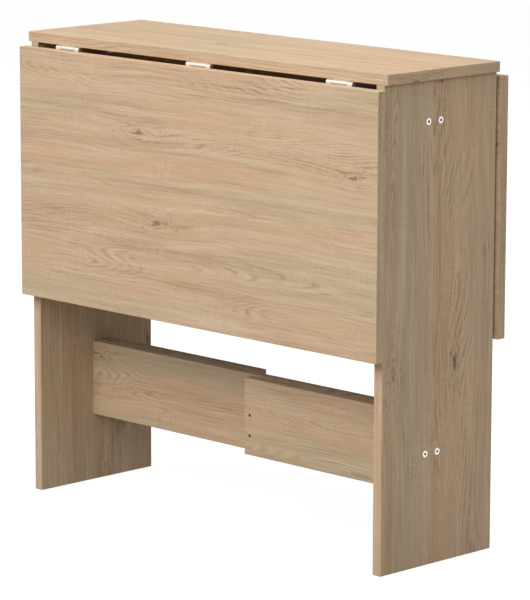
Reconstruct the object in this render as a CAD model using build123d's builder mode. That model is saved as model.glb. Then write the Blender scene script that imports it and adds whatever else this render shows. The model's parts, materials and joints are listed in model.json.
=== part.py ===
"""Drop leaf table: two side panels, three layers of rails, a narrow fixed top and two hanging leaves.

Millimetres. +X runs along the table, -Y is the front, +Z is up, and the origin is on the floor
under the middle of the table. Every board has the same thickness and slightly eased edges.
"""

import os

from build123d import *

os.makedirs("parts", exist_ok=True)

# --- overall sizes
HEIGHT = 734
LENGTH = 770
TOP_DEPTH = 240
BOARD = 16
EASE = 0.8  # radius on the boards' edges
FIT = 0.05  # clearance around fasteners and pins

UNDERSIDE = HEIGHT - BOARD
TOP_EDGE = TOP_DEPTH / 2

# --- side panels
PANEL_OUTER = LENGTH / 2 - 6
PANEL_INNER = PANEL_OUTER - BOARD
PANEL_MIDDLE = PANEL_OUTER - BOARD / 2
PANEL_EDGE = 119.5

# --- leaves, as they hang
LEAF_GAP = 1.5  # between a raised leaf and the top
LEAF_HEIGHT = 393
LEAF_TOP = UNDERSIDE - 6.4
LEAF_BOTTOM = LEAF_TOP - LEAF_HEIGHT
LEAF_INNER = TOP_EDGE + 3
LEAF_OUTER = LEAF_INNER + BOARD

# --- rails
RAIL_HEIGHT = 120
LOWER_RAIL_BOTTOM = 108
UPPER_RAIL_BOTTOM = UNDERSIDE - RAIL_HEIGHT
HALF_RAIL_OFFSET = 26  # from the middle of the centre rail to the middle of a half rail
HALF_RAIL_END = 11  # free end of a half rail, past the middle of the table
HALF_RAIL_FACE = HALF_RAIL_OFFSET + BOARD / 2
RAIL_SCREW_INSET = 10.5
RAIL_SCREW_HEIGHTS = (30, 62)  # from the lower rail's bottom and the upper rail's top
RAIL_SCREW_RADIUS = 2.5
RAIL_SCREW_LENGTH = 36
RAIL_SCREW_RECESS = 2
RAIL_SCREW_HEX = 2.5
SPACER_LENGTH = 30
SPACER_HEIGHT = 64

# --- hinges; the pin lies level with both faces that meet when the leaf is up
HINGE_PLACES = {"left": -292, "middle": 0, "right": 292}
HINGE_WIDTH = 52
HINGE_PLATE = 1.2
KNUCKLE_RADIUS = 3.6
END_KNUCKLE = 9.6
PIN_RADIUS = 1.5
PIN_FROM_FACE = 3.95
PIN_Y = LEAF_INNER - PIN_FROM_FACE
PIN_Z = UNDERSIDE - PIN_FROM_FACE
FIXED_PLATE_REACH = 27  # from the pin
LEAF_PLATE_REACH = 28
PLATE_CORNER = 2
HINGE_HALF = HINGE_WIDTH / 2
KNUCKLE_PLAY = 0.3
MIDDLE_KNUCKLE = HINGE_WIDTH - 2 * (END_KNUCKLE + KNUCKLE_PLAY)
HINGE_SCREW_SPREAD = 17
HINGE_SCREW_REACH = 17  # from the pin
HINGE_SCREW_RADIUS = 1.75
HINGE_SCREW_HEAD = 3.2
HINGE_SCREW_DEPTH = 12
HINGE_SCREW_POINT = 3
HINGE_SCREW_CROSS = (3.6, 0.9)

# --- swing arms that hold a raised leaf
ARM_PIVOT_X = 245
ARM_PIVOT_Y = 72
ARM_LENGTH = 215  # pivot to tip
ARM_WIDTH = 28
ARM_THICKNESS = 4
ARM_BOTTOM = UNDERSIDE - 5.4
ARM_TOP = ARM_BOTTOM + ARM_THICKNESS
PAD_RADIUS = 9
PAD_HEIGHT = 1
PAD_INSET = 16
SHOULDER_RADIUS = 4
PIVOT_THREAD_RADIUS = 3
PIVOT_HEAD_RADIUS = 8
PIVOT_HEAD_HEIGHT = 3.6
PIVOT_HEX = 5
PIVOT_DEPTH = 11
AXIAL_PLAY = 0.1

# --- fasteners
DOWEL_RADIUS = 4
DOWEL_IN_FACE = 10
DOWEL_IN_EDGE = 20
TOP_DOWEL_Y = 92
RAIL_DOWEL_SPREAD = 36
PANEL_SCREW_HEIGHTS = (LOWER_RAIL_BOTTOM + RAIL_HEIGHT / 2, UPPER_RAIL_BOTTOM + RAIL_HEIGHT / 2)
SCREW_HEAD_RADIUS = 5
SCREW_HEAD_DEPTH = 1.2
SCREW_CONE_DEPTH = 3
SCREW_SHANK_RADIUS = 3.5
SCREW_SHANK_LENGTH = BOARD - 0.3
SCREW_THREAD_RADIUS = 2.6
SCREW_LENGTH = 50
SCREW_HEX = 4
SCREW_TIP_RADIUS = 0.6
SOCKET_DEPTH = 3
CAM_RADIUS = 7.5
CAM_DEPTH = 12.5
CAM_FROM_TOP = 34
CAM_Z = UNDERSIDE - CAM_FROM_TOP
CAM_CROSS = (7, 1.4)
CAM_CROSS_DEPTH = 2
CAM_Y = 56
CAM_BOLT_RADIUS = 2.5
CAM_BOLT_HEAD = 3.5
CAM_BOLT_IN_TOP = 10
CAM_CHANNEL_RADIUS = 4
BUMPER_RADIUS = 4
BUMPER_HEIGHT = LEAF_INNER - PANEL_EDGE - 0.4
BUMPER_Z = 335

SIDES = {"front": -1, "rear": 1}
ENDS = {"left": -1, "right": 1}
LEVELS = {"lower": LOWER_RAIL_BOTTOM, "upper": UPPER_RAIL_BOTTOM}


def block(low, high):
    """A box between two corners, added to the part being built."""
    with BuildSketch(Plane.XY.offset(low[2])) as outline:
        with Locations(((low[0] + high[0]) / 2, (low[1] + high[1]) / 2)):
            Rectangle(high[0] - low[0], high[1] - low[1])
    extrude(outline.sketch, amount=high[2] - low[2])


def rounds(plane, points, radius, length, mode=Mode.ADD):
    """A round bar on each of a plane's points, or with Mode.SUBTRACT a hole, along the plane's normal."""
    with BuildSketch(plane) as circles:
        with Locations(*points):
            Circle(radius)
    extrude(circles.sketch, amount=length, mode=mode)


def drill(plane, points, radius, depth):
    rounds(plane, points, radius, depth, mode=Mode.SUBTRACT)


def facing(x, y, z, direction):
    """A plane at a point whose normal is the given direction."""
    return Plane(origin=(x, y, z), z_dir=direction)


def save(builder, name):
    builder.part.label = name
    export_step(builder.part, f"parts/{name}.step")


def spans(side, near, far):
    """Low and high Y of a span given by its distances from the middle on one side."""
    return sorted((side * near, side * far))


# --- where the fasteners go
DOWEL_ENDS = [(end, y) for end in ENDS.values() for y in (-TOP_DOWEL_Y, TOP_DOWEL_Y)]
CAM_PLACES = [(end, y) for end in ENDS.values() for y in (-CAM_Y, CAM_Y)]
RAIL_ENDS = [(end, y) for end in ENDS.values() for y in (0, -end * HALF_RAIL_OFFSET)]
ARM_PIVOTS = [(end * ARM_PIVOT_X, side * ARM_PIVOT_Y) for end in ENDS.values() for side in SIDES.values()]
TOP_HINGE_SCREWS = [
    (place + offset, side * (PIN_Y - HINGE_SCREW_REACH))
    for side in SIDES.values()
    for place in HINGE_PLACES.values()
    for offset in (-HINGE_SCREW_SPREAD, HINGE_SCREW_SPREAD)
]
LEAF_HINGE_SCREWS = [
    (place + offset, PIN_Z - HINGE_SCREW_REACH)
    for place in HINGE_PLACES.values()
    for offset in (-HINGE_SCREW_SPREAD, HINGE_SCREW_SPREAD)
]

# --- top panel
with BuildPart() as top_panel:
    block((-LENGTH / 2, -TOP_EDGE, UNDERSIDE), (LENGTH / 2, TOP_EDGE, HEIGHT))
    fillet(top_panel.edges(), EASE)
    below = Plane.XY.offset(UNDERSIDE)
    drill(below, [(end * PANEL_MIDDLE, y) for end, y in DOWEL_ENDS], DOWEL_RADIUS + FIT, DOWEL_IN_FACE)
    drill(below, [(end * PANEL_MIDDLE, y) for end, y in CAM_PLACES], CAM_BOLT_RADIUS + FIT, CAM_BOLT_IN_TOP)
    drill(below, ARM_PIVOTS, PIVOT_THREAD_RADIUS + FIT, PIVOT_DEPTH)
    drill(below, TOP_HINGE_SCREWS, HINGE_SCREW_RADIUS + FIT, HINGE_SCREW_DEPTH + FIT)
save(top_panel, "top_panel")


# --- leaves
for side_name, side in SIDES.items():
    with BuildPart() as leaf:
        low_y, high_y = spans(side, LEAF_INNER, LEAF_OUTER)
        block((-LENGTH / 2, low_y, LEAF_BOTTOM), (LENGTH / 2, high_y, LEAF_TOP))
        fillet(leaf.edges(), EASE)
        for x, z in LEAF_HINGE_SCREWS:
            drill(facing(x, side * LEAF_INNER, z, (0, side, 0)), [(0, 0)],
                  HINGE_SCREW_RADIUS + FIT, HINGE_SCREW_DEPTH + FIT)
    save(leaf, f"{side_name}_leaf")


# --- side panels
for end_name, end in ENDS.items():
    with BuildPart() as panel:
        low_x, high_x = spans(end, PANEL_INNER, PANEL_OUTER)
        block((low_x, -PANEL_EDGE, 0), (high_x, PANEL_EDGE, UNDERSIDE))
        fillet(panel.edges(), EASE)
        for dowel_end, y in DOWEL_ENDS:
            if dowel_end == end:
                drill(facing(end * PANEL_MIDDLE, y, UNDERSIDE, (0, 0, -1)), [(0, 0)],
                      DOWEL_RADIUS + FIT, DOWEL_IN_EDGE)
        for cam_end, y in CAM_PLACES:
            if cam_end == end:
                drill(facing(end * PANEL_MIDDLE, y, UNDERSIDE, (0, 0, -1)), [(0, 0)],
                      CAM_CHANNEL_RADIUS, CAM_FROM_TOP)
                drill(facing(end * PANEL_INNER, y, UNDERSIDE - CAM_FROM_TOP, (end, 0, 0)), [(0, 0)],
                      CAM_RADIUS + FIT, CAM_DEPTH + FIT)
        for rail_end, y in RAIL_ENDS:
            if rail_end != end:
                continue
            for z in PANEL_SCREW_HEIGHTS:
                drill(facing(end * PANEL_INNER, y, z, (end, 0, 0)), [(0, 0)],
                      SCREW_SHANK_RADIUS + FIT, BOARD)
                drill(facing(end * PANEL_OUTER, y, z, (-end, 0, 0)), [(0, 0)],
                      SCREW_HEAD_RADIUS + FIT, SCREW_CONE_DEPTH)
                for spread in (-RAIL_DOWEL_SPREAD, RAIL_DOWEL_SPREAD):
                    drill(facing(end * PANEL_INNER, y, z + spread, (end, 0, 0)), [(0, 0)],
                          DOWEL_RADIUS + FIT, DOWEL_IN_FACE)
    save(panel, f"{end_name}_side_panel")


# --- rails
def rail_end_holes(end, y, bottom):
    """Screw and dowel holes in the end of a rail that butts against a side panel."""
    middle = bottom + RAIL_HEIGHT / 2
    inward = (-end, 0, 0)
    drill(facing(end * PANEL_INNER, y, middle, inward), [(0, 0)],
          SCREW_THREAD_RADIUS + FIT, SCREW_LENGTH - BOARD + 1)
    for spread in (-RAIL_DOWEL_SPREAD, RAIL_DOWEL_SPREAD):
        drill(facing(end * PANEL_INNER, y, middle + spread, inward), [(0, 0)],
              DOWEL_RADIUS + FIT, DOWEL_IN_EDGE)


def rail_screw_points(level):
    """X and Z of the two screws at the free end of the front half rail."""
    x = HALF_RAIL_END + RAIL_SCREW_INSET
    if level == "lower":
        return [(x, LOWER_RAIL_BOTTOM + height) for height in RAIL_SCREW_HEIGHTS]
    return [(x, UNDERSIDE - height) for height in RAIL_SCREW_HEIGHTS]


for level, bottom in LEVELS.items():
    with BuildPart() as centre_rail:
        block((-PANEL_INNER, -BOARD / 2, bottom), (PANEL_INNER, BOARD / 2, bottom + RAIL_HEIGHT))
        fillet(centre_rail.edges().filter_by(Axis.X), EASE)
        for end in ENDS.values():
            rail_end_holes(end, 0, bottom)
        for side in SIDES.values():
            for x, z in rail_screw_points(level):
                drill(facing(-side * x, side * BOARD / 2, z, (0, -side, 0)), [(0, 0)],
                      RAIL_SCREW_RADIUS + FIT, BOARD - 3)
    save(centre_rail, f"centre_rail_{level}")

    for side_name, side in SIDES.items():
        end = -side
        with BuildPart() as half_rail:
            low_x, high_x = spans(end, HALF_RAIL_END, PANEL_INNER)
            low_y, high_y = spans(side, HALF_RAIL_OFFSET - BOARD / 2, HALF_RAIL_FACE)
            block((low_x, low_y, bottom), (high_x, high_y, bottom + RAIL_HEIGHT))
            fillet(half_rail.edges().filter_by(Axis.X), EASE)
            rail_end_holes(end, side * HALF_RAIL_OFFSET, bottom)
            for x, z in rail_screw_points(level):
                drill(facing(end * x, side * HALF_RAIL_FACE, z, (0, -side, 0)), [(0, 0)],
                      RAIL_SCREW_RADIUS + FIT, BOARD)
        save(half_rail, f"{side_name}_half_rail_{level}")

with BuildPart() as rail_spacers:
    for level in LEVELS:
        points = rail_screw_points(level)
        middle = sum(z for x, z in points) / 2
        for side in SIDES.values():
            low_x, high_x = spans(-side, HALF_RAIL_END, HALF_RAIL_END + SPACER_LENGTH)
            low_y, high_y = spans(side, BOARD / 2, HALF_RAIL_OFFSET - BOARD / 2)
            block((low_x, low_y, middle - SPACER_HEIGHT / 2), (high_x, high_y, middle + SPACER_HEIGHT / 2))
            for x, z in points:
                drill(facing(-side * x, side * (HALF_RAIL_OFFSET - BOARD / 2), z, (0, -side, 0)), [(0, 0)],
                      RAIL_SCREW_RADIUS + FIT, HALF_RAIL_OFFSET - BOARD)
save(rail_spacers, "rail_spacers")

with BuildPart() as rail_joint_screws:
    for level in LEVELS:
        for side in SIDES.values():
            for x, z in rail_screw_points(level):
                start = facing(-side * x, side * (HALF_RAIL_FACE - RAIL_SCREW_RECESS), z, (0, -side, 0))
                rounds(start, [(0, 0)], RAIL_SCREW_RADIUS, RAIL_SCREW_LENGTH)
                with BuildSketch(start) as socket:
                    RegularPolygon(RAIL_SCREW_HEX / 2, 6, major_radius=False)
                extrude(socket.sketch, amount=SOCKET_DEPTH, mode=Mode.SUBTRACT)
save(rail_joint_screws, "rail_joint_screws")


# --- screws through the side panels into the rails
SCREW_PROFILE = [
    (0, 0),
    (SCREW_HEAD_RADIUS, 0),
    (SCREW_HEAD_RADIUS, SCREW_HEAD_DEPTH),
    (SCREW_SHANK_RADIUS, SCREW_CONE_DEPTH),
    (SCREW_SHANK_RADIUS, SCREW_SHANK_LENGTH),
    (SCREW_THREAD_RADIUS, SCREW_SHANK_LENGTH),
    (SCREW_THREAD_RADIUS, SCREW_LENGTH - 3),
    (SCREW_TIP_RADIUS, SCREW_LENGTH),
    (0, SCREW_LENGTH),
]


def turned(plane, profile):
    """A turned piece: profile gives (radius, distance along the plane's normal), starting on the axis."""
    along = Plane(origin=plane.origin, x_dir=plane.x_dir, z_dir=-plane.y_dir)
    with BuildSketch(along) as half:
        with BuildLine():
            Polyline(*profile, close=True)
        make_face()
    revolve(half.sketch, axis=Axis(plane.origin, plane.z_dir))


for end_name, end in ENDS.items():
    with BuildPart() as panel_screws:
        for rail_end, y in RAIL_ENDS:
            if rail_end != end:
                continue
            for z in PANEL_SCREW_HEIGHTS:
                head = facing(end * (PANEL_OUTER - 0.1), y, z, (-end, 0, 0))
                turned(head, SCREW_PROFILE)
                with BuildSketch(head) as socket:
                    RegularPolygon(SCREW_HEX / 2, 6, major_radius=False)
                extrude(socket.sketch, amount=SOCKET_DEPTH + 0.5, mode=Mode.SUBTRACT)
    save(panel_screws, f"{end_name}_panel_screws")


# --- dowels
with BuildPart() as top_dowels:
    for end, y in DOWEL_ENDS:
        rounds(Plane.XY.offset(UNDERSIDE - DOWEL_IN_EDGE + 1), [(end * PANEL_MIDDLE, y)],
               DOWEL_RADIUS, DOWEL_IN_EDGE + DOWEL_IN_FACE - 2)
save(top_dowels, "top_dowels")

with BuildPart() as rail_dowels:
    for end, y in RAIL_ENDS:
        for z in PANEL_SCREW_HEIGHTS:
            for spread in (-RAIL_DOWEL_SPREAD, RAIL_DOWEL_SPREAD):
                start = facing(end * (PANEL_INNER - DOWEL_IN_EDGE + 1), y, z + spread, (end, 0, 0))
                rounds(start, [(0, 0)], DOWEL_RADIUS, DOWEL_IN_EDGE + DOWEL_IN_FACE - 2)
save(rail_dowels, "rail_dowels")


# --- cam locks in the panels and the bolts they pull, which stand in the top
with BuildPart() as cam_locks:
    for end, y in CAM_PLACES:
        rounds(facing(end * PANEL_INNER, y, CAM_Z, (end, 0, 0)), [(0, 0)], CAM_RADIUS, CAM_DEPTH)
        drill(facing(end * PANEL_MIDDLE, y, CAM_Z - CAM_BOLT_HEAD - 1, (0, 0, 1)), [(0, 0)],
              CAM_CHANNEL_RADIUS, CAM_RADIUS * 2)
        with BuildSketch(facing(end * PANEL_INNER, y, CAM_Z, (end, 0, 0))) as cross:
            Rectangle(*CAM_CROSS)
            Rectangle(*reversed(CAM_CROSS))
        extrude(cross.sketch, amount=CAM_CROSS_DEPTH, mode=Mode.SUBTRACT)
save(cam_locks, "cam_locks")

with BuildPart() as cam_bolts:
    for end, y in CAM_PLACES:
        turned(
            facing(end * PANEL_MIDDLE, y, CAM_Z - CAM_BOLT_HEAD, (0, 0, 1)),
            [
                (0, 0),
                (2, 0),
                (CAM_BOLT_HEAD, 1.5),
                (CAM_BOLT_HEAD, 3.5),
                (CAM_BOLT_RADIUS, 5),
                (CAM_BOLT_RADIUS, CAM_BOLT_HEAD + CAM_FROM_TOP + CAM_BOLT_IN_TOP - 1),
                (0, CAM_BOLT_HEAD + CAM_FROM_TOP + CAM_BOLT_IN_TOP),
            ],
        )
save(cam_bolts, "cam_bolts")


# --- hinges: the end knuckles belong to the leaf's plate, the long middle one to the fixed plate
def knuckle(x_low, x_high, side, bore):
    start = facing(x_low, side * PIN_Y, PIN_Z, (1, 0, 0))
    rounds(start, [(0, 0)], KNUCKLE_RADIUS, x_high - x_low)
    drill(start, [(0, 0)], bore, x_high - x_low)


def countersink(plane):
    """A flat-head screw's seat through a hinge plate; the plane's normal points into the wood."""
    steps = [(0, 0), (HINGE_SCREW_HEAD + FIT, 0), (HINGE_SCREW_RADIUS + FIT, HINGE_PLATE), (0, HINGE_PLATE)]
    along = Plane(origin=plane.origin, x_dir=plane.x_dir, z_dir=-plane.y_dir)
    with BuildSketch(along) as half:
        with BuildLine():
            Polyline(*steps, close=True)
        make_face()
    revolve(half.sketch, axis=Axis(plane.origin, plane.z_dir), mode=Mode.SUBTRACT)


def hinge_screw(plane):
    """A flat-head screw with a cross recess; the plane lies on the head."""
    shank_end = HINGE_PLATE + HINGE_SCREW_DEPTH - HINGE_SCREW_POINT
    turned(
        plane,
        [
            (0, 0),
            (HINGE_SCREW_HEAD, 0),
            (HINGE_SCREW_RADIUS, HINGE_PLATE),
            (HINGE_SCREW_RADIUS, shank_end),
            (0, HINGE_PLATE + HINGE_SCREW_DEPTH - 0.2),
        ],
    )
    with BuildSketch(plane) as cross:
        Rectangle(*HINGE_SCREW_CROSS)
        Rectangle(*reversed(HINGE_SCREW_CROSS))
    extrude(cross.sketch, amount=HINGE_SCREW_CROSS[1], mode=Mode.SUBTRACT)


for side_name, side in SIDES.items():
    for place_name, place in HINGE_PLACES.items():
        hinge = f"{side_name}_{place_name}_hinge"
        screws_y = side * (PIN_Y - HINGE_SCREW_REACH)
        with BuildPart() as fixed_plate:
            low_y, high_y = spans(side, PIN_Y - FIXED_PLATE_REACH, PIN_Y - 3.2)
            block((place - HINGE_HALF, low_y, UNDERSIDE - HINGE_PLATE), (place + HINGE_HALF, high_y, UNDERSIDE))
            fillet(fixed_plate.edges().filter_by(Axis.Z), PLATE_CORNER)
            low_y, high_y = spans(side, PIN_Y - 5.2, PIN_Y)
            block((place - MIDDLE_KNUCKLE / 2, low_y, UNDERSIDE - HINGE_PLATE),
                  (place + MIDDLE_KNUCKLE / 2, high_y, UNDERSIDE))
            knuckle(place - MIDDLE_KNUCKLE / 2, place + MIDDLE_KNUCKLE / 2, side, PIN_RADIUS + FIT)
            for offset in (-HINGE_SCREW_SPREAD, HINGE_SCREW_SPREAD):
                countersink(facing(place + offset, screws_y, UNDERSIDE - HINGE_PLATE, (0, 0, 1)))
        save(fixed_plate, f"{hinge}_fixed_plate")

        with BuildPart() as leaf_plate:
            low_y, high_y = spans(side, LEAF_INNER - HINGE_PLATE, LEAF_INNER)
            block((place - HINGE_HALF, low_y, PIN_Z - LEAF_PLATE_REACH), (place + HINGE_HALF, high_y, PIN_Z - 5))
            fillet(leaf_plate.edges().filter_by(Axis.Y), PLATE_CORNER)
            neck_low, neck_high = spans(side, LEAF_INNER - HINGE_PLATE, PIN_Y + KNUCKLE_RADIUS)
            for end in ENDS.values():
                low_x, high_x = sorted((place + end * HINGE_HALF, place + end * (HINGE_HALF - END_KNUCKLE)))
                block((low_x, low_y, PIN_Z - 8), (high_x, high_y, PIN_Z - 1.2))
                block((low_x, neck_low, PIN_Z - 1.2), (high_x, neck_high, PIN_Z))
                knuckle(low_x, high_x, side, PIN_RADIUS + FIT)
            for offset in (-HINGE_SCREW_SPREAD, HINGE_SCREW_SPREAD):
                countersink(facing(place + offset, side * (LEAF_INNER - HINGE_PLATE),
                                   PIN_Z - HINGE_SCREW_REACH, (0, side, 0)))
        save(leaf_plate, f"{hinge}_leaf_plate")

        with BuildPart() as pin:
            rounds(facing(place - HINGE_HALF, side * PIN_Y, PIN_Z, (1, 0, 0)), [(0, 0)], PIN_RADIUS, HINGE_WIDTH)
            chamfer(pin.edges().filter_by(GeomType.CIRCLE), 0.3)
        save(pin, f"{hinge}_pin")

with BuildPart() as top_hinge_screws:
    for x, y in TOP_HINGE_SCREWS:
        hinge_screw(facing(x, y, UNDERSIDE - HINGE_PLATE, (0, 0, 1)))
save(top_hinge_screws, "top_hinge_screws")

for side_name, side in SIDES.items():
    with BuildPart() as leaf_hinge_screws:
        for x, z in LEAF_HINGE_SCREWS:
            hinge_screw(facing(x, side * (LEAF_INNER - HINGE_PLATE), z, (0, side, 0)))
    save(leaf_hinge_screws, f"{side_name}_leaf_hinge_screws")


# --- swing arms, their pads, and the bolts and washers they turn on
for side_name, side in SIDES.items():
    for end_name, end in ENDS.items():
        x, y = end * ARM_PIVOT_X, side * ARM_PIVOT_Y
        tip = x - end * (ARM_LENGTH - ARM_WIDTH / 2)
        pad_x = x - end * (ARM_LENGTH - PAD_INSET)
        with BuildPart() as arm:
            with BuildSketch(Plane.XY.offset(ARM_BOTTOM)) as arm_outline:
                with Locations(((x + tip) / 2, y)):
                    SlotCenterToCenter(abs(x - tip), ARM_WIDTH)
            extrude(amount=ARM_THICKNESS)
            fillet(arm.edges().group_by(Axis.Z)[0], 0.8)
            drill(Plane.XY.offset(ARM_BOTTOM), [(x, y)], SHOULDER_RADIUS + FIT, ARM_THICKNESS)
        save(arm, f"{side_name}_{end_name}_arm")

        with BuildPart() as pad:
            rounds(Plane.XY.offset(ARM_TOP), [(pad_x, y)], PAD_RADIUS, PAD_HEIGHT)
            fillet(pad.edges().group_by(Axis.Z)[-1], 0.4)
        save(pad, f"{side_name}_{end_name}_arm_pad")

with BuildPart() as arm_pivot_bolts:
    for x, y in ARM_PIVOTS:
        head = ARM_BOTTOM - AXIAL_PLAY - PIVOT_HEAD_HEIGHT
        rounds(Plane.XY.offset(head), [(x, y)], PIVOT_HEAD_RADIUS, PIVOT_HEAD_HEIGHT)
        rounds(Plane.XY.offset(head), [(x, y)], SHOULDER_RADIUS, UNDERSIDE - head)
        rounds(Plane.XY.offset(UNDERSIDE), [(x, y)], PIVOT_THREAD_RADIUS, PIVOT_DEPTH - 0.5)
        with BuildSketch(Plane.XY.offset(head)) as socket:
            with Locations((x, y)):
                RegularPolygon(PIVOT_HEX / 2, 6, major_radius=False)
        extrude(socket.sketch, amount=SOCKET_DEPTH, mode=Mode.SUBTRACT)
save(arm_pivot_bolts, "arm_pivot_bolts")

with BuildPart() as arm_pivot_washers:
    for x, y in ARM_PIVOTS:
        rounds(Plane.XY.offset(ARM_TOP + AXIAL_PLAY), [(x, y)], PIVOT_HEAD_RADIUS + 1,
               UNDERSIDE - ARM_TOP - AXIAL_PLAY)
        drill(Plane.XY.offset(ARM_TOP), [(x, y)], SHOULDER_RADIUS + FIT, UNDERSIDE - ARM_TOP)
save(arm_pivot_washers, "arm_pivot_washers")


# --- bumpers on the panels' edges, for the hanging leaves to rest on
with BuildPart() as leaf_bumpers:
    for side in SIDES.values():
        for end in ENDS.values():
            start = facing(end * PANEL_MIDDLE, side * PANEL_EDGE, BUMPER_Z, (0, side, 0))
            rounds(start, [(0, 0)], BUMPER_RADIUS, BUMPER_HEIGHT)
    fillet(leaf_bumpers.edges().filter_by(GeomType.CIRCLE).filter_by(
        lambda edge: abs(edge.center().Y) > PANEL_EDGE + 1), 1)
save(leaf_bumpers, "leaf_bumpers")
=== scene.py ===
"""The looks of the drop leaf table: oak-print boards, nickel hinges, plated steel, black rubber."""

import json
from math import radians

import bpy
from mathutils import Matrix, Vector


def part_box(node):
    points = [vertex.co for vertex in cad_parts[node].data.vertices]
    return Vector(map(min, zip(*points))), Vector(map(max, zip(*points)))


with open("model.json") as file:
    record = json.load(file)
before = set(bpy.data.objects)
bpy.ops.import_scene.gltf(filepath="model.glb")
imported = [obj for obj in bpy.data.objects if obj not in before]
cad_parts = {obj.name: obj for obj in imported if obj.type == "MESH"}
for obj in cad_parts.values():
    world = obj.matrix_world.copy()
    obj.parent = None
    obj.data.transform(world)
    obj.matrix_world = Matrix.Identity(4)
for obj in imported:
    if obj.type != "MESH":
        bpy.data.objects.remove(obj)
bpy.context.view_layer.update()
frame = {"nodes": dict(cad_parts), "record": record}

NODES = frame["nodes"]
X, Z = 0, 2


# --- shader nodes -------------------------------------------------------------------------------

def node(tree, kind, values=None, **settings):
    """A node of the given kind. values maps a socket's name or number to a value or to another socket."""
    made = tree.nodes.new(kind)
    for name, value in settings.items():
        setattr(made, name, value)
    for key, value in (values or {}).items():
        if isinstance(value, bpy.types.NodeSocket):
            tree.links.new(value, made.inputs[key])
        else:
            made.inputs[key].default_value = value
    return made


def maths(tree, operation, first, second=0.0, third=0.0):
    return node(tree, "ShaderNodeMath", {0: first, 1: second, 2: third}, operation=operation).outputs[0]


def times(tree, first, second):
    return maths(tree, "MULTIPLY", first, second)


def add_times(tree, value, factor, base):
    """base + value * factor"""
    return maths(tree, "MULTIPLY_ADD", value, factor, base)


def vector_maths(tree, operation, first, second):
    return node(tree, "ShaderNodeVectorMath", {0: first, 1: second}, operation=operation).outputs[0]


def mix(tree, amount, first, second):
    made = node(tree, "ShaderNodeMix", {0: amount, 6: first, 7: second}, data_type="RGBA")
    return made.outputs[2]


def steps(tree, value, low, high):
    """0 at low, 1 at high, and a smooth slope between them. low may be above high."""
    made = node(tree, "ShaderNodeMapRange", {0: value, 1: low, 2: high, 3: 0.0, 4: 1.0})
    made.interpolation_type = "SMOOTHSTEP"
    return made.outputs[0]


def noise(tree, place, along, across, detail=3.0, roughness=0.55):
    """Noise of so many cycles a metre along X, and across it in both other directions."""
    stretched = vector_maths(tree, "MULTIPLY", place, (along, across, across))
    made = node(tree, "ShaderNodeTexNoise", {"Vector": stretched, "Scale": 1.0, "Detail": detail})
    made.inputs["Roughness"].default_value = roughness
    return made.outputs["Fac"]


def new_group(name, inputs, outputs):
    """An empty node group; inputs and outputs map names to socket kinds and, for inputs, default values."""
    tree = bpy.data.node_groups.new(name, "ShaderNodeTree")
    for socket, (kind, default) in inputs.items():
        made = tree.interface.new_socket(socket, in_out="INPUT", socket_type=f"NodeSocket{kind}")
        if default is not None:
            made.default_value = default
    for socket, kind in outputs.items():
        tree.interface.new_socket(socket, in_out="OUTPUT", socket_type=f"NodeSocket{kind}")
    return tree, tree.nodes.new("NodeGroupInput").outputs, tree.nodes.new("NodeGroupOutput").inputs


def finish_group(tree, outputs, values):
    for name, value in values.items():
        tree.links.new(value, outputs[name])
    return tree


def use_group(tree, group, values):
    return node(tree, "ShaderNodeGroup", values, node_tree=group).outputs


# --- printed oak --------------------------------------------------------------------------------

KNOT_CELLS = (2.6, 9.0, 0.0)  # cells a metre along and across the board; a cell may hold a knot
KNOT_CHANCE = (0.58, 0.62)  # a cell above this has one
DRIFT = 0.022  # metres that the grain wanders, and below, wavers and bends round a knot
WAVER = 0.0035
KNOT_BEND = 0.011
RING_COUNT = 260.0  # radians of ring for the whole rise of the slow noise
KNOT_RING_COUNT = 150.0


def scatter_knots(tree, place):
    """How far the nearest knot is, and whether its cell really has one."""
    cells = vector_maths(tree, "MULTIPLY", place, KNOT_CELLS)
    knots = node(tree, "ShaderNodeTexVoronoi", {"Vector": cells, "Scale": 1.0}, voronoi_dimensions="2D")
    chance = node(tree, "ShaderNodeSeparateColor", {0: knots.outputs["Color"]}).outputs[0]
    return knots.outputs["Distance"], steps(tree, chance, *KNOT_CHANCE)


def bend_grain(tree, place, knot_far, knot_here):
    """Place, moved across the board so that the grain wanders and bends round the knots."""
    split = node(tree, "ShaderNodeSeparateXYZ", {0: place}).outputs
    drift = maths(tree, "SUBTRACT", noise(tree, place, 1.7, 6.0, 2.0), 0.5)
    waver = maths(tree, "SUBTRACT", noise(tree, place, 9.0, 24.0), 0.5)
    pull = times(tree, steps(tree, knot_far, 0.40, 0.03), knot_here)
    across = add_times(tree, drift, DRIFT, split[1])
    across = add_times(tree, waver, WAVER, across)
    across = add_times(tree, pull, KNOT_BEND, across)
    return node(tree, "ShaderNodeCombineXYZ", {0: split[0], 1: across, 2: split[2]}).outputs[0]


def lay_ground(tree, grain, given):
    """Wide warm and grey bands, with paler streaks inside them."""
    bands = noise(tree, grain, 0.8, 11.0, 5.0, 0.6)
    streaks = noise(tree, grain, 2.4, 80.0, 6.0, 0.74)
    color = mix(tree, steps(tree, bands, 0.41, 0.59), given["Warm"], given["Grey"])
    return mix(tree, times(tree, steps(tree, streaks, 0.40, 0.66), 0.78), color, given["Pale"])


def draw_lines(tree, grain, color, dark):
    """Thin brown lines that gather in some bands, and a few longer shades."""
    lines = steps(tree, noise(tree, grain, 8.0, 380.0, 6.0, 0.74), 0.42, 0.72)
    gathered = steps(tree, noise(tree, grain, 1.7, 19.0, 4.0), 0.42, 0.64)
    lines = times(tree, lines, add_times(tree, gathered, 0.65, 0.35))
    color = mix(tree, times(tree, lines, 0.50), color, dark)
    shades = steps(tree, noise(tree, grain, 1.9, 50.0, 6.0, 0.70), 0.50, 0.78)
    return mix(tree, times(tree, shades, 0.36), color, dark)


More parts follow.
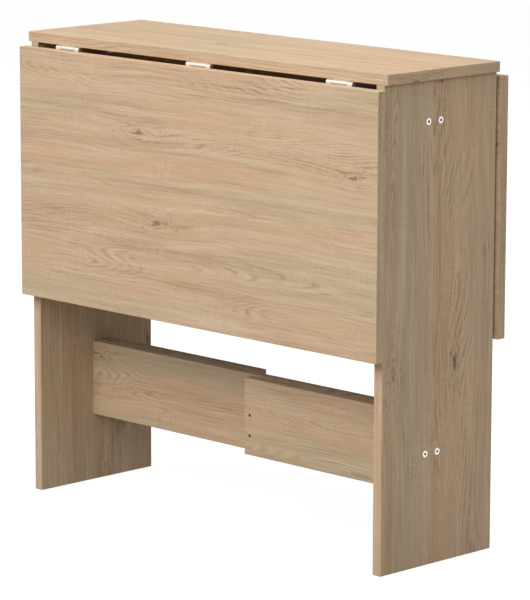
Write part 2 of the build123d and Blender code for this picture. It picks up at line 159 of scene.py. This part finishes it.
def draw_cathedrals(tree, place, grain, broken, color, given):
    """Dark and pale contour lines of a slow noise, broken up, in long patches."""
    rise = noise(tree, grain, 1.5, 14.0, 1.2, 0.4)
    rings = maths(tree, "SINE", times(tree, rise, RING_COUNT))
    patches = steps(tree, noise(tree, place, 3.0, 14.0, 2.0), 0.50, 0.64)
    figured = times(tree, times(tree, patches, broken), given["Figure"])
    dark_rings = times(tree, steps(tree, rings, 0.30, 0.95), figured)
    pale_rings = times(tree, steps(tree, rings, -0.20, -0.90), figured)
    color = mix(tree, times(tree, dark_rings, 0.40), color, given["Dark"])
    return mix(tree, times(tree, pale_rings, 0.60), color, given["Pale"])


def shape_knots(tree, place, broken, knot_far, knot_here):
    """Small ragged eyes with broken rings round them, as a mask."""
    ragged = add_times(tree, noise(tree, place, 48.0, 170.0, 5.0, 0.7), 0.22, knot_far)
    eye = steps(tree, ragged, 0.150, 0.105)
    rings = steps(tree, maths(tree, "SINE", times(tree, ragged, KNOT_RING_COUNT)), 0.1, 0.9)
    halo = times(tree, steps(tree, knot_far, 0.30, 0.06), times(tree, rings, broken))
    return times(tree, add_times(tree, halo, 0.55, eye), knot_here)


def cut_marks(tree, place, strength):
    """The pale marks that the saw leaves straight across the grain, in patches."""
    marks = maths(tree, "SUBTRACT", noise(tree, place, 430.0, 62.0, 2.0), 0.46)
    patches = steps(tree, noise(tree, place, 8.0, 19.0, 2.0), 0.47, 0.70)
    return times(tree, times(tree, marks, patches), strength)


def make_sawn_oak():
    """Printed sawn oak. Place is in metres with X along the grain and Y across it."""
    tree, given, out = new_group(
        "sawn_oak",
        {
            "Place": ("Vector", None),
            "Warm": ("Color", (0.664, 0.450, 0.290, 1)),
            "Grey": ("Color", (0.586, 0.455, 0.298, 1)),
            "Pale": ("Color", (0.718, 0.556, 0.386, 1)),
            "Dark": ("Color", (0.230, 0.135, 0.070, 1)),
            "Figure": ("Float", 1.0),
            "Saw Marks": ("Float", 1.0),
        },
        {"Color": "Color", "Height": "Float", "Roughness": "Float"},
    )
    place, dark = given["Place"], given["Dark"]
    knot_far, knot_here = scatter_knots(tree, place)
    grain = bend_grain(tree, place, knot_far, knot_here)
    broken = steps(tree, noise(tree, grain, 40.0, 190.0, 4.0, 0.65), 0.40, 0.60)

    color = lay_ground(tree, grain, given)
    color = draw_lines(tree, grain, color, dark)
    color = draw_cathedrals(tree, place, grain, broken, color, given)
    knot = times(tree, shape_knots(tree, place, broken, knot_far, knot_here), given["Figure"])
    color = mix(tree, times(tree, knot, 0.95), color, dark)
    pores = steps(tree, noise(tree, grain, 95.0, 1500.0, 2.0), 0.58, 0.72)
    color = mix(tree, times(tree, pores, 0.22), color, dark)

    fibres = noise(tree, grain, 15.0, 640.0)
    cuts = cut_marks(tree, place, given["Saw Marks"])
    tone = add_times(tree, cuts, 0.42, 1.0)
    tone = add_times(tree, maths(tree, "SUBTRACT", fibres, 0.5), 0.34, tone)
    toned = node(tree, "ShaderNodeVectorMath", {0: color, "Scale": tone}, operation="SCALE")

    height = add_times(tree, pores, -0.5, times(tree, fibres, 0.6))
    height = add_times(tree, cuts, 0.5, height)
    height = add_times(tree, knot, -0.4, height)
    rough = add_times(tree, fibres, 0.14, 0.44)
    rough = add_times(tree, pores, 0.10, rough)
    return finish_group(tree, out, {"Color": toned.outputs[0], "Height": height, "Roughness": rough})


# --- rubbed metal, rubber and beech -------------------------------------------------------------

def make_rubbed_surface():
    """Small unevenness for plated, painted and moulded pieces: mottling, and fine lines one way."""
    tree, given, out = new_group(
        "rubbed_surface",
        {
            "Place": ("Vector", None),
            "Clean": ("Color", (0.8, 0.8, 0.8, 1)),
            "Worn": ("Color", (0.6, 0.6, 0.6, 1)),
            "Line Scale": ("Vector", (60.0, 2500.0, 2500.0)),
            "Smoothness": ("Float", 0.3),
            "Variation": ("Float", 0.15),
        },
        {"Color": "Color", "Height": "Float", "Roughness": "Float"},
    )
    place, variation = given["Place"], given["Variation"]
    mottle = noise(tree, place, 260.0, 260.0, 4.0)
    lined = vector_maths(tree, "MULTIPLY", place, given["Line Scale"])
    lines = node(tree, "ShaderNodeTexNoise", {"Vector": lined, "Scale": 1.0, "Detail": 3.0}).outputs["Fac"]
    worn = steps(tree, add_times(tree, lines, 0.35, times(tree, mottle, 0.65)), 0.42, 0.70)
    color = mix(tree, worn, given["Clean"], given["Worn"])
    rough = add_times(tree, maths(tree, "SUBTRACT", mottle, 0.5), variation, given["Smoothness"])
    rough = add_times(tree, lines, times(tree, variation, 0.5), rough)
    height = add_times(tree, mottle, 0.5, lines)
    return finish_group(tree, out, {"Color": color, "Height": height, "Roughness": rough})


SAWN_OAK = make_sawn_oak()
RUBBED = make_rubbed_surface()


# --- materials ----------------------------------------------------------------------------------

PRINT_SHINE = 0.003  # the print is almost without gloss
# painted shade: the near black painted down inside the screw sockets, where shade falls
SOCKET_PAINTED_SHADE = (0.02, 0.02, 0.02, 1)
SOCKET_SHADE_EDGE = (0.0006, 0.0001)  # metres below a screw's face where it turns from painted shade (near black) to plated


def new_material(name):
    material = bpy.data.materials.new(name)
    material.use_nodes = True
    tree = material.node_tree
    tree.nodes.clear()
    surface = tree.nodes.new("ShaderNodeBsdfPrincipled")
    node(tree, "ShaderNodeOutputMaterial", {0: surface.outputs[0]})
    return material, tree, surface


def dress(tree, surface, effect, bump, depth):
    """Joins a group's colour, roughness and height to the surface."""
    tree.links.new(effect["Color"], surface.inputs["Base Color"])
    tree.links.new(effect["Roughness"], surface.inputs["Roughness"])
    raised = node(tree, "ShaderNodeBump", {"Strength": bump, "Distance": depth, "Height": effect["Height"]})
    tree.links.new(raised.outputs[0], surface.inputs["Normal"])


def place_of(tree):
    return tree.nodes.new("ShaderNodeTexCoord").outputs["Object"]


def oak_board(name, piece, along, start):
    """Oak print on one board. along is the grain's axis, and start is where the board's own cut starts."""
    material, tree, surface = new_material(name)
    here = tree.nodes.new("ShaderNodeTexCoord").outputs
    part = node(tree, "ShaderNodeSeparateXYZ", {0: here["Object"]}).outputs
    facing = node(tree, "ShaderNodeSeparateXYZ", {0: here["Normal"]}).outputs
    low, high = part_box(piece)
    thin = min(range(3), key=lambda axis: high[axis] - low[axis])
    wide = 3 - along - thin
    round_the_edge = maths(tree, "ADD", part[wide], part[thin])
    face = node(tree, "ShaderNodeCombineXYZ", {0: part[along], 1: round_the_edge, 2: part[thin]}).outputs[0]
    # the strip on a board's end has its grain along the strip
    strip = node(tree, "ShaderNodeCombineXYZ", {0: part[wide], 1: part[thin], 2: part[along]}).outputs[0]
    on_end = maths(tree, "GREATER_THAN", maths(tree, "ABSOLUTE", facing[along]), 0.7)
    chosen = node(tree, "ShaderNodeMix", {0: on_end, 4: face, 5: strip}, data_type="VECTOR").outputs[1]
    effect = use_group(tree, SAWN_OAK, {"Place": vector_maths(tree, "ADD", chosen, start)})
    dress(tree, surface, effect, 0.35, 0.0003)
    surface.inputs["Specular IOR Level"].default_value = PRINT_SHINE
    return material


def rubbed(name, clean, worn, smoothness, line_scale, bump, depth, metallic):
    material, tree, surface = new_material(name)
    effect = use_group(tree, RUBBED, {
        "Place": place_of(tree),
        "Clean": clean,
        "Worn": worn,
        "Smoothness": smoothness,
        "Line Scale": line_scale,
    })
    dress(tree, surface, effect, bump, depth)
    surface.inputs["Metallic"].default_value = metallic
    return material


def metal(name, clean, worn, smoothness, line_scale, bump=0.15):
    return rubbed(name, clean, worn, smoothness, line_scale, bump, depth=0.0001, metallic=1.0)


def dull(name, clean, worn, smoothness, line_scale):
    return rubbed(name, clean, worn, smoothness, line_scale, bump=0.4, depth=0.0002, metallic=0.0)


def screw_with_painted_socket_shade(name):
    """A plated screw head with painted shade: near black is painted down inside its socket, where shade
    falls.
    """
    material = metal(name, (0.90, 0.90, 0.90, 1), (0.72, 0.73, 0.74, 1), 0.34, EVEN)
    tree = material.node_tree
    surface = next(made for made in tree.nodes if made.type == "BSDF_PRINCIPLED")
    outwards = maths(tree, "ABSOLUTE", node(tree, "ShaderNodeSeparateXYZ", {0: place_of(tree)}).outputs[X])
    low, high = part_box("right_panel_screws")
    # painted shade: faces deep down in the socket take the near black colour instead of the plated one
    clear_of_painted_shade = steps(tree, outwards, *(high[X] - depth for depth in SOCKET_SHADE_EDGE))
    plated = surface.inputs["Base Color"].links[0].from_socket
    tree.links.new(mix(tree, clear_of_painted_shade, SOCKET_PAINTED_SHADE, plated), surface.inputs["Base Color"])
    return material


# fine lines along a piece, or specks all over it, in cycles a metre
LENGTHWAYS = (60.0, 2500.0, 2500.0)
EVEN = (900.0, 900.0, 900.0)

# each board is its own cut from the printed sheet: the grain's axis, and where the cut starts
BOARDS = {
    "top_panel": (X, (0.37, 0.75, 0.0)),
    "front_leaf": (X, (1.93, 2.41, 0.5)),
    "rear_leaf": (X, (4.15, 1.32, 1.0)),
    "left_side_panel": (Z, (2.71, 5.27, 2.0)),
    "right_side_panel": (Z, (6.13, 4.45, 3.0)),
    "centre_rail_upper": (X, (7.2, 4.1, 4.0)),
    "centre_rail_lower": (X, (8.4, 6.3, 5.0)),
    "front_half_rail_upper": (X, (3.3, 7.7, 6.0)),
    "front_half_rail_lower": (X, (5.6, 8.9, 7.0)),
    "rear_half_rail_upper": (X, (9.1, 2.2, 8.0)),
    "rear_half_rail_lower": (X, (2.8, 9.4, 9.0)),
    "rail_spacers": (Z, (1.1, 1.7, 1.0)),
}

# each finish's clean and worn colours
NICKEL = ((0.93, 0.92, 0.90, 1), (0.82, 0.81, 0.78, 1))
ZINC = ((0.86, 0.87, 0.87, 1), (0.66, 0.68, 0.70, 1))
BAR_STEEL = ((0.62, 0.63, 0.64, 1), (0.44, 0.45, 0.46, 1))
BLACK_STEEL = ((0.05, 0.048, 0.045, 1), (0.10, 0.095, 0.09, 1))
RUBBER = ((0.022, 0.022, 0.022, 1), (0.045, 0.044, 0.042, 1))
BEECH = ((0.62, 0.44, 0.27, 1), (0.48, 0.31, 0.17, 1))

FINISHES = {
    "nickel_hinge": metal("nickel_plate", *NICKEL, 0.30, LENGTHWAYS),
    "zinc_fastener": metal("zinc_plate", *ZINC, 0.32, EVEN),
    "steel_arm": metal("plated_flat_bar", *BAR_STEEL, 0.36, LENGTHWAYS, bump=0.3),
    "black_screw": metal("blackened_steel", *BLACK_STEEL, 0.45, EVEN),
    "black_rubber": dull("black_rubber", *RUBBER, 0.62, EVEN),
    "beech_dowel": dull("turned_beech", *BEECH, 0.55, LENGTHWAYS),
}

SHADED_SOCKET_SCREW = screw_with_painted_socket_shade("screw_with_painted_socket_shade")
SLOTS = {part["node"]: part["material_slot"] for part in frame["record"]["subparts"]}


def finish_of(name):
    if name in BOARDS:
        along, start = BOARDS[name]
        return oak_board(f"oak_{name}", name, along, start)
    # the panel screws carry painted shade down inside their sockets
    if name.endswith("panel_screws"):
        return SHADED_SOCKET_SCREW
    return FINISHES[SLOTS[name]]


for name, piece in NODES.items():
    piece.data.materials.clear()
    piece.data.materials.append(finish_of(name))


# --- floor, light and camera --------------------------------------------------------------------

FLOOR_SIZE = 40.0
FLOOR_DROP = 0.0005
FLOOR_SEEN = (0.27, 0.27, 0.27, 1)
FLOOR_GLOW = 0.88
FLOOR_UNSEEN = (0.40, 0.39, 0.38, 1)
WHITE = (1, 1, 1, 1)
SKY_LIGHT = 0.36
SKY_SEEN = 0.66  # more, for the eye and in reflections

LIGHT_DISTANCE = 4.0
LIGHT_AIM = Vector((0, 0, 0.4))
# direction from the table, size in metres, and power in watts
LIGHTS = {
    "key": ((0.03, -0.77, 0.64), 2.2, 102),
    "overhead": ((0.0, 0.0, 1.0), 2.6, 47),
    "side": ((0.80, -0.15, 0.62), 2.0, 23),
}

CAMERA_PLACE = (3.825, -3.789, 1.355)
CAMERA_YAW = 45.12
CAMERA_DOWN = 10.65
CAMERA_ROLL = 0.168
CAMERA_LENS = 214.6
CAMERA_SENSOR = 36
CAMERA_REACH = 100


def seen_or_mirrored(tree):
    path = tree.nodes.new("ShaderNodeLightPath").outputs
    return maths(tree, "MAXIMUM", path["Is Camera Ray"], path["Is Glossy Ray"])


def make_floor():
    """A pale floor that looks white and throws little light back up."""
    bpy.ops.mesh.primitive_plane_add(size=FLOOR_SIZE, location=(0, 0, -FLOOR_DROP))
    floor = bpy.context.object
    floor.name = "floor"
    material = bpy.data.materials.new("pale_floor")
    material.use_nodes = True
    tree = material.node_tree
    tree.nodes.clear()
    seen = node(tree, "ShaderNodeBsdfDiffuse", {"Color": FLOOR_SEEN}).outputs[0]
    glow = node(tree, "ShaderNodeEmission", {"Color": WHITE, "Strength": FLOOR_GLOW}).outputs[0]
    pale = node(tree, "ShaderNodeAddShader", {0: seen, 1: glow}).outputs[0]
    unseen = node(tree, "ShaderNodeBsdfDiffuse", {"Color": FLOOR_UNSEEN}).outputs[0]
    mixed = node(tree, "ShaderNodeMixShader", {0: seen_or_mirrored(tree), 1: unseen, 2: pale}).outputs[0]
    node(tree, "ShaderNodeOutputMaterial", {0: mixed})
    floor.data.materials.append(material)


def make_world():
    """White all round to the eye and in reflections, and softer as a light."""
    world = bpy.data.worlds.new("studio")
    bpy.context.scene.world = world
    world.use_nodes = True
    tree = world.node_tree
    tree.nodes.clear()
    strength = add_times(tree, seen_or_mirrored(tree), SKY_SEEN, SKY_LIGHT)
    sky = node(tree, "ShaderNodeBackground", {"Color": WHITE, "Strength": strength}).outputs[0]
    node(tree, "ShaderNodeOutputWorld", {0: sky})


def make_light(name, direction, size, power):
    """A soft square light that faces the middle of the table."""
    lamp = bpy.data.lights.new(name, "AREA")
    lamp.size = size
    lamp.energy = power
    holder = bpy.data.objects.new(name, lamp)
    towards = Vector(direction).normalized()
    holder.location = towards * LIGHT_DISTANCE + LIGHT_AIM
    holder.rotation_euler = towards.to_track_quat("Z", "Y").to_euler()
    bpy.context.collection.objects.link(holder)


def make_camera():
    lens = bpy.data.cameras.new("camera")
    lens.lens = CAMERA_LENS
    lens.sensor_width = CAMERA_SENSOR
    lens.clip_end = CAMERA_REACH
    camera = bpy.data.objects.new("camera", lens)
    turn = Matrix.Rotation(radians(CAMERA_YAW), 4, "Z")
    tilt = Matrix.Rotation(radians(90 - CAMERA_DOWN), 4, "X")
    roll = Matrix.Rotation(radians(CAMERA_ROLL), 4, "Z")
    camera.matrix_world = Matrix.Translation(CAMERA_PLACE) @ turn @ tilt @ roll
    bpy.context.collection.objects.link(camera)
    bpy.context.scene.camera = camera


make_floor()
make_world()
for name, (direction, size, power) in LIGHTS.items():
    make_light(name, direction, size, power)
make_camera()
bpy.context.scene.view_settings.view_transform = "Standard"
